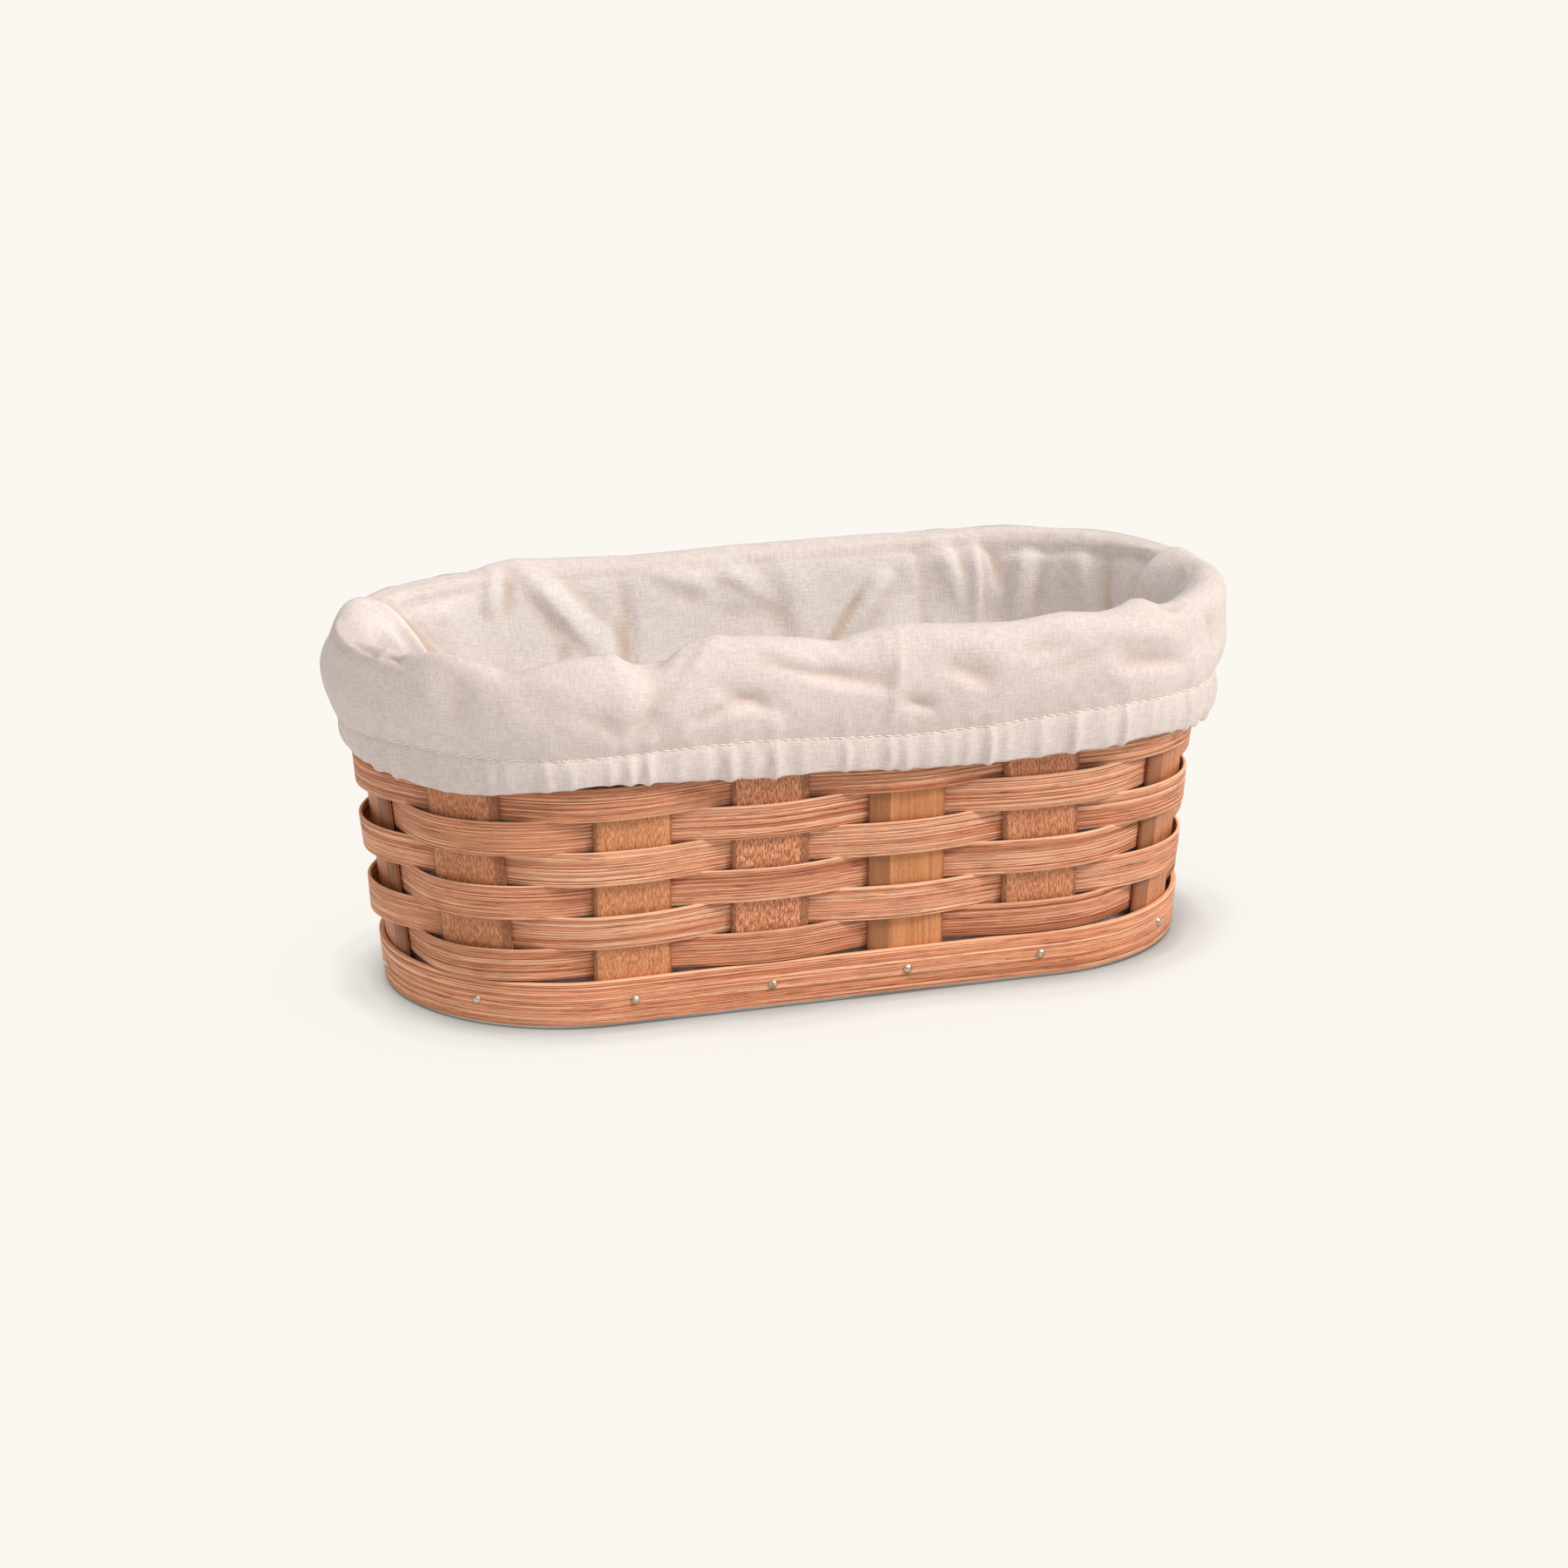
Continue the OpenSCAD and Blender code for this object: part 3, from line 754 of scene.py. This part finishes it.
def splint_material(name, lines_mm, shade):
    """Stained oak splint: rift-cut, so pale and dark growth lines run its whole length.

    The stain sits in the open earlywood and leaves the hard latewood peach. The cut edges
    are paler than the face, partly their own paler wood and partly a painted highlight. lines_mm
    is the width of the main lines. The pores are drawn a little coarser than the real ones, which
    would be too fine to see. shade lightens it all.
    """
    mat, tree, shader = new_material(name)
    uv = add(tree, "ShaderNodeUVMap", uv_map="UVMap").outputs[0]
    lines = grain(tree, uv, 260, lines_mm, 4.0, 0.75)
    colour = ramp(tree, lines, [(0.38, "#863f22"), (0.45, "#b46140"), (0.5, "#d58660"),
                                (0.55, "#eeae88"), (0.61, "#ffdabb")])
    broad = grain(tree, uv, 180, 5, 2.0, 0.5)
    warm = ramp(tree, broad, [(0.32, "#c07a58"), (0.5, "#d49069"), (0.68, "#e2a87c")])
    colour = mix(tree, 0.3, colour, warm)
    pores = grain(tree, uv, 16, 0.28, 3.0, 0.75)
    colour = mix(tree, 0.75, colour, ramp(tree, pores, [(0.37, "#74391f"), (0.47, "#ffffff")]), "MULTIPLY")
    pale = grain(tree, uv, 120, 0.3, 2.0, 0.6)
    streaks = ramp(tree, pale, [(0.56, "#000000"), (0.7, "#ffffff")])
    colour = mix(tree, sum_of(tree, streaks, 0.6, "MULTIPLY"), colour, linear("#f9cfae"))
    # Pale lines along both edges of the strip: partly the cut wood's own paler colour, partly a painted
    # highlight.
    edge = add(tree, "ShaderNodeAttribute", attribute_name="edge").outputs["Fac"]
    rim = ramp(tree, edge, [(0.91, "#000000"), (0.98, "#ffffff")])
    colour = mix(tree, sum_of(tree, rim, 0.65, "MULTIPLY"), colour, linear("#f8caa4"))
    tone = add(tree, "ShaderNodeAttribute", attribute_name="tone").outputs["Fac"]
    colour = mix(tree, 1.0, colour, ramp(tree, tone, [(0.0, "#ecdfd8"), (1.0, "#ffffff")]), "MULTIPLY")
    colour = mix(tree, 1.0, colour, [shade, shade, shade, 1.0], "MULTIPLY")
    tree.links.new(colour, shader.inputs["Base Color"])
    shader.inputs["Roughness"].default_value = 0.55
    shader.inputs["Specular IOR Level"].default_value = 0.18
    bump(tree, shader, sum_of(tree, sum_of(tree, lines, pores), streaks), 0.6, 0.22 * MM)
    return mat


def stave_material():
    """Stained quarter-cut splint: short ray flecks over a plain face, each stave its own tone.

    The flecks stand upright, about 3 mm long. The edges of some staves took a darker stain.
    """
    mat, tree, shader = new_material("stave_splint_quarter_cut")
    uv = add(tree, "ShaderNodeUVMap", uv_map="UVMap").outputs[0]
    golden = add(tree, "ShaderNodeAttribute", attribute_name="golden").outputs["Fac"]
    fleck_amount = add(tree, "ShaderNodeAttribute", attribute_name="fleck").outputs["Fac"]
    across = add(tree, "ShaderNodeAttribute", attribute_name="across").outputs["Fac"]
    strips = []
    for side, attribute in ((-1.0, "dark_left"), (1.0, "dark_right")):
        width = add(tree, "ShaderNodeAttribute", attribute_name=attribute).outputs["Fac"]
        reach = sum_of(tree, sum_of(tree, across, side, "MULTIPLY"), width)
        strips.append(ramp(tree, reach, [(0.95, "#000000"), (1.0, "#ffffff")]))
    stain = sum_of(tree, strips[0], strips[1])
    face = ramp(tree, golden, [(0.0, "#b06c46"), (0.5, "#bb764a"), (1.0, "#c9854e")])
    streak = grain(tree, uv, 50, 1.4, 4.0, 0.6)
    face = mix(tree, 0.45, face, ramp(tree, streak, [(0.34, "#9a5834"), (0.66, "#dc9c68")]))
    wiggle = add(tree, "ShaderNodeTexNoise", {"Vector": uv}, inputs={"Scale": 260.0, "Detail": 2.0})
    bent = add(tree, "ShaderNodeVectorMath", {0: wiggle.outputs[1]}, operation="SCALE",
               inputs={3: 0.0016})
    bent = add(tree, "ShaderNodeVectorMath", {0: uv, 1: bent.outputs[0]}, operation="ADD").outputs[0]
    fleck = grain(tree, bent, 2.2, 0.5, 3.0, 0.75)
    fleck_colour = ramp(tree, fleck, [(0.38, "#94502f"), (0.49, "#be744e"), (0.6, "#eeb08a")])
    face = mix(tree, sum_of(tree, fleck_amount, 0.8, "MULTIPLY"), face, fleck_colour)
    face = mix(tree, sum_of(tree, stain, 0.6, "MULTIPLY"), face, linear("#70442a"))
    tree.links.new(face, shader.inputs["Base Color"])
    shader.inputs["Roughness"].default_value = 0.5
    shader.inputs["Specular IOR Level"].default_value = 0.35
    bump(tree, shader, sum_of(tree, fleck, streak), 0.4, 0.2 * MM)
    return mat


def cotton_material(name, shade):
    """Unbleached plain-weave cotton: uneven threads both ways, matt, with a soft sheen.

    The real threads lie 0.5 mm apart and are drawn 0.6 mm apart so that they show. shade
    scales the colour: 1.0 for the main cloth, and the doubled hem's copy is painted a little darker,
    as painted shade. The inside is painted lighter, as painted light that lifts the shade it lies in,
    and the hollows of its folds get painted shade, warmer and darker.
    """
    mat, tree, shader = new_material(name)
    uv = add(tree, "ShaderNodeUVMap", uv_map="UVMap").outputs[0]
    warp = grain(tree, uv, 0.6, 4, 1.0, 0.6)
    weft = grain(tree, uv, 4, 0.6, 1.0, 0.6)
    threads = sum_of(tree, sum_of(tree, warp, weft), 0.5, "MULTIPLY")
    colour = ramp(tree, threads, [(0.34, "#d8cec8"), (0.5, "#e7deda"), (0.66, "#f2ece9")])
    cloud = grain(tree, uv, 50, 50, 3.0, 0.5)
    colour = mix(tree, 0.4, colour, ramp(tree, cloud, [(0.35, "#dfd6cf"), (0.65, "#ece6e1")]))
    colour = mix(tree, 1.0, colour, [shade, shade, shade, 1.0], "MULTIPLY")
    # Painted light: the cloth inside the basket is painted lighter than the outside.
    inside = add(tree, "ShaderNodeAttribute", attribute_name="inside").outputs["Fac"]
    colour = mix(tree, 1.0, colour, ramp(tree, inside, [(0.0, "#f0eae8"), (1.0, "#ffffff")]), "MULTIPLY")
    # Painted shade: the hollows of the folds are tinted warm and darker.
    crease_shade = add(tree, "ShaderNodeAttribute", attribute_name="crease_shade").outputs["Fac"]
    colour = mix(tree, sum_of(tree, crease_shade, 0.55, "MULTIPLY"), colour, linear("#c2a07c"))
    tree.links.new(colour, shader.inputs["Base Color"])
    shader.inputs["Roughness"].default_value = 0.95
    shader.inputs["Specular IOR Level"].default_value = 0.15
    shader.inputs["Sheen Weight"].default_value = 0.15
    shader.inputs["Sheen Roughness"].default_value = 0.5
    crumple = add(tree, "ShaderNodeTexNoise", {"Vector": uv}, inputs={"Scale": 140.0, "Detail": 3.0})
    height = sum_of(tree, threads, sum_of(tree, crumple.outputs[0], 2.0, "MULTIPLY"))
    bump(tree, shader, height, 0.5, 0.3 * MM)
    return mat


def plain_material(name, colour, roughness):
    """A small fitting of one colour, such as thread or tape."""
    mat, _, shader = new_material(name)
    shader.inputs["Base Color"].default_value = linear(colour)
    shader.inputs["Roughness"].default_value = roughness
    return mat


def board_material():
    """Stained plywood board: plain grain along the basket."""
    mat, tree, shader = new_material("stained_plywood")
    place = add(tree, "ShaderNodeTexCoord").outputs["Object"]
    lines = grain(tree, place, 120, 3, 4.0, 0.6)
    tree.links.new(ramp(tree, lines, [(0.3, "#a5683f"), (0.55, "#c98c5c"), (0.75, "#dca676")]),
                   shader.inputs["Base Color"])
    shader.inputs["Roughness"].default_value = 0.6
    bump(tree, shader, lines, 0.3, 0.2 * MM)
    return mat


def brass_material():
    """Antique brass tacks: brass browned by lacquer, with rubbed lighter spots."""
    mat, tree, shader = new_material("antique_brass")
    place = add(tree, "ShaderNodeTexCoord").outputs["Object"]
    spots = add(tree, "ShaderNodeTexNoise", {"Vector": place},
                inputs={"Scale": 900.0, "Detail": 3.0}).outputs[0]
    tree.links.new(ramp(tree, spots, [(0.35, "#a8947c"), (0.6, "#ddcdb8")]), shader.inputs["Base Color"])
    rough = add(tree, "ShaderNodeMapRange", {0: spots}, inputs={3: 0.28, 4: 0.5})
    tree.links.new(rough.outputs[0], shader.inputs["Roughness"])
    shader.inputs["Metallic"].default_value = 1.0
    return mat


def paper_material():
    """Matt pale paper, lit a little from behind so that shadows on it stay light."""
    mat, _, shader = new_material("pale_paper")
    shader.inputs["Base Color"].default_value = linear("#7e7d7b")
    shader.inputs["Roughness"].default_value = 1.0
    shader.inputs["Specular IOR Level"].default_value = 0.0
    shader.inputs["Emission Color"].default_value = linear("#fbf8f2")
    shader.inputs["Emission Strength"].default_value = 0.125
    return mat


def dress(obj, material):
    """Gives a piece its material."""
    obj.data.materials.clear()
    obj.data.materials.append(material)


# ---------------------------------------------------------------- camera, light and floor

VIEW_TURN = math.radians(-18.12)
VIEW_RISE = math.radians(17.84)
VIEW_ROLL = math.radians(-0.2)
VIEW_DISTANCE = 1.7699
VIEW_TARGET = (0.65 * MM, 0.0, 54.66 * MM)
LENS_MM = 124.4


def make_camera():
    """Long-lens camera in front, a little to the left and above."""
    from mathutils import Matrix, Vector
    away = Vector((math.sin(VIEW_TURN) * math.cos(VIEW_RISE),
                   -math.cos(VIEW_TURN) * math.cos(VIEW_RISE), math.sin(VIEW_RISE)))
    turn = away.to_track_quat("Z", "Y").to_matrix().to_4x4() @ Matrix.Rotation(VIEW_ROLL, 4, "Z")
    data = bpy.data.cameras.new("camera")
    data.sensor_width = 36
    data.lens = LENS_MM
    data.clip_end = 50
    camera = bpy.data.objects.new("camera", data)
    camera.matrix_world = Matrix.Translation(Vector(VIEW_TARGET) + away * VIEW_DISTANCE) @ turn
    bpy.context.scene.collection.objects.link(camera)
    bpy.context.scene.camera = camera


# Soft lights: turn to the right of the front and rise in degrees, strength, spread in degrees,
# whether it lights the paper or everything else, and colour.
LIGHTS = {"key": (54, 42, 1.9, 14, "EXCLUDE", "#fffaf6"), "front": (12, 58, 0.9, 50, "EXCLUDE", "#fffdfb"),
          "paper_light": (180, 87, 11.0, 44, "INCLUDE", "#fffdfb")}


def make_stage(low_pieces):
    """Pale paper floor, a pale studio all round, a soft key from the right and a weak front light.

    The paper has its own light from above, which only low_pieces shade, so the shadow on it stays
    small and close.
    """
    from mathutils import Vector
    half = 8.0
    mesh = bpy.data.meshes.new("floor")
    mesh.from_pydata([(-half, -half, 0), (half, -half, 0), (half, half, 0), (-half, half, 0)], [],
                     [(0, 1, 2, 3)])
    floor = bpy.data.objects.new("floor", mesh)
    bpy.context.scene.collection.objects.link(floor)
    mesh.materials.append(paper_material())
    world = bpy.data.worlds.new("studio")
    world.use_nodes = True
    world.node_tree.nodes["Background"].inputs[0].default_value = linear("#fdfbfa")
    world.node_tree.nodes["Background"].inputs[1].default_value = 0.55
    bpy.context.scene.world = world
    low = bpy.data.collections.new("low_pieces")
    for piece in low_pieces:
        low.objects.link(piece)
    for name, (turn, rise, strength, spread, paper, colour) in LIGHTS.items():
        data = bpy.data.lights.new(name, "SUN")
        data.energy = strength
        data.angle = math.radians(spread)
        data.color = linear(colour)[:3]
        light = bpy.data.objects.new(name, data)
        turn, rise = math.radians(turn), math.radians(rise)
        away = Vector((math.sin(turn) * math.cos(rise), -math.cos(turn) * math.cos(rise), math.sin(rise)))
        light.rotation_euler = away.to_track_quat("Z", "Y").to_euler()
        bpy.context.scene.collection.objects.link(light)
        linked = bpy.data.collections.new(name + "_link")
        linked.objects.link(floor)
        linked.collection_objects[0].light_linking.link_state = paper
        light.light_linking.receiver_collection = linked
        if paper == "INCLUDE":
            light.light_linking.blocker_collection = low
    bpy.context.scene.view_settings.view_transform = "Standard"


# ---------------------------------------------------------------- put together

make_camera()

weaver_wood = splint_material("weaver_splint_rift_cut", 0.52, 1.08)
# Painted light: the bands' copy of the splint is drawn lighter than the weavers' (1.26 against 1.08), to
# brighten the low base band; the rim bands share it.
band_wood_painted_lighter = splint_material("band_splint_rift_cut_painted_lighter", 0.55, 1.26)
stave_wood = stave_material()
board_wood = board_material()
brass = brass_material()
cotton = cotton_material("unbleached_cotton_plain_weave", 1.0)
# Painted shade: the hem's copy of the cotton is drawn a little darker than the rest.
hem_cotton_painted_darker = cotton_material("unbleached_cotton_hem_painted_darker", 0.98)
elastic = plain_material("white_elastic", "#ece8e2", 0.8)
sewing_thread = plain_material("cream_sewing_thread", "#f4ead6", 0.6)

low_pieces = [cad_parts["base_board"]]
for row in range(1, 9):
    weaver = make_weaver(row)
    if row < 4:
        low_pieces.append(weaver)
    dress(weaver, weaver_wood)
    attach(weaver, "basket")
for k in range(STAVES):
    stave = make_stave(k)
    dress(stave, stave_wood)
    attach(stave, "basket")
for node, side, seed, lap_at in (("base_band", 1, 301, 6.3), ("rim_band_outer", 1, 302, 6.2),
                                 ("rim_band_inner", -1, 303, 7.2)):
    band = make_band(node, side, seed, lap_at, 1)
    dress(band, band_wood_painted_lighter)
    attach(band, "basket")
    if node == "base_band":
        low_pieces.append(band)

bag, stitch_z, stitch_off = make_liner_bag()
hem = make_hem(stitch_z, stitch_off)
tape = make_elastic(stitch_z, stitch_off)
thread = make_stitches(stitch_z, stitch_off)
floor_cloth, (floor_long, floor_wide, floor_area) = make_liner_floor()
for piece, material, slot in ((bag, cotton, "liner_cotton"), (hem, hem_cotton_painted_darker, "liner_cotton"),
                              (tape, elastic, "elastic_tape"), (thread, sewing_thread, "liner_cotton"),
                              (floor_cloth, cotton, "liner_cotton")):
    dress(piece, material)
    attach(piece, "liner")

for node, material in (("base_board", board_wood), ("base_tacks", brass), ("rim_tacks", brass)):
    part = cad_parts[node]
    part.data.materials.clear()
    part.data.materials.append(material)

make_stage(low_pieces)
